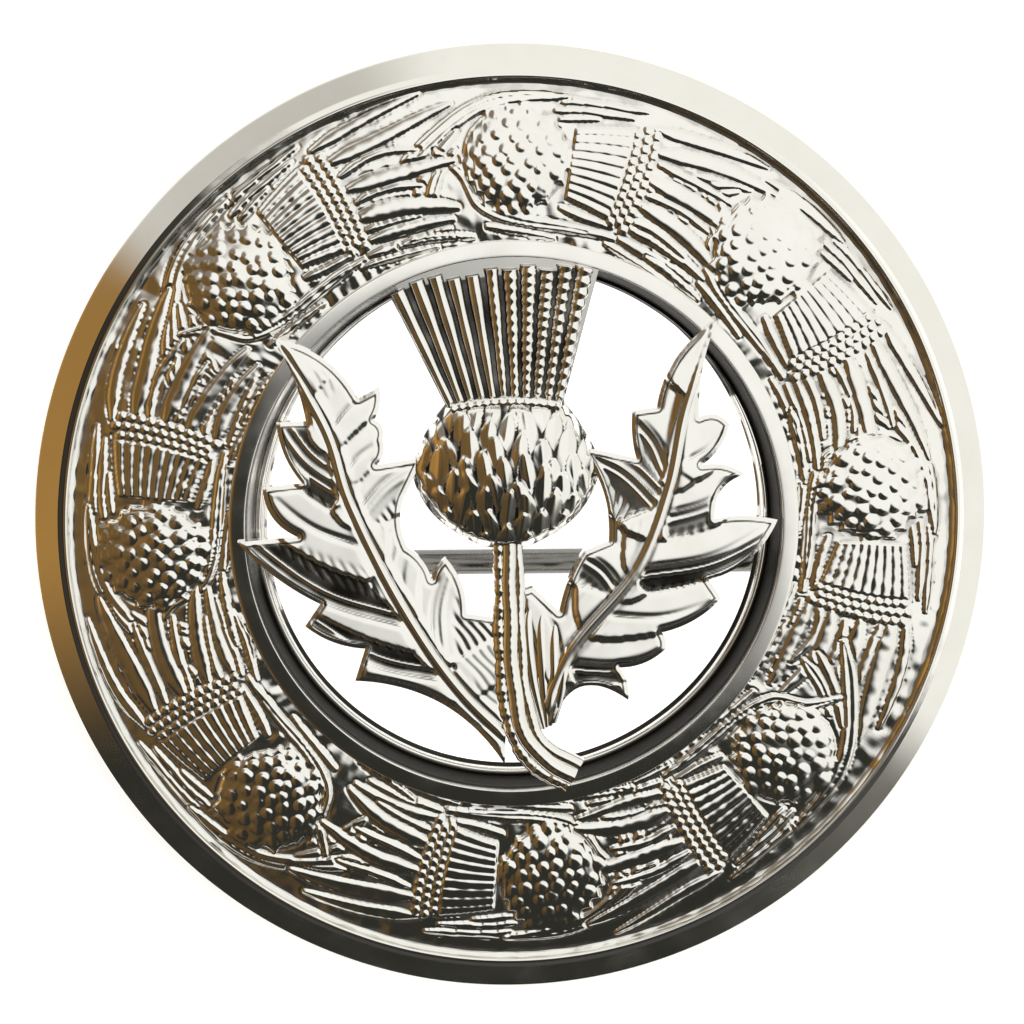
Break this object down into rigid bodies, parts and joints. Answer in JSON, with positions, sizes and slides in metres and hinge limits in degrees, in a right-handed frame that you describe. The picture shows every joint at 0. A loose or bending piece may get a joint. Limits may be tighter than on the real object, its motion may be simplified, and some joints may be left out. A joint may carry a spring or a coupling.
{
  "type": "plaid brooch",
  "caption": "Round brooch with a domed ring in relief, an openwork thistle and leaf sprig across its hole, and a hinged pin behind.",
  "frame": {"origin": "centre of the ring, in the plane of the rim that its back rests on", "axes": "+Z along the ring's axis, out of the face; +Y towards the thistle's tuft, the wearer's up; +X to the right, towards the pin's catch"},
  "size_m": [0.095, 0.095, 0.0113],
  "materials": {
    "plated_body": "bright plate with darkened recesses",
    "pin_wire": "plated wire, finely scratched",
    "rivet_steel": "plain steel"
  },
  "bodies": {
    "brooch": {"brooch": "plated_body", "rivet": "rivet_steel"},
    "pin": {"pin": "pin_wire"}
  },
  "joints": [
    {"name": "pin_hinge", "type": "hinge", "parent": "brooch", "child": "pin", "pos_m": [-0.0385, -0.0043, 0.0019], "axis": [0, 0.9397, -0.342], "range_deg": [0, 110]}
  ]
}
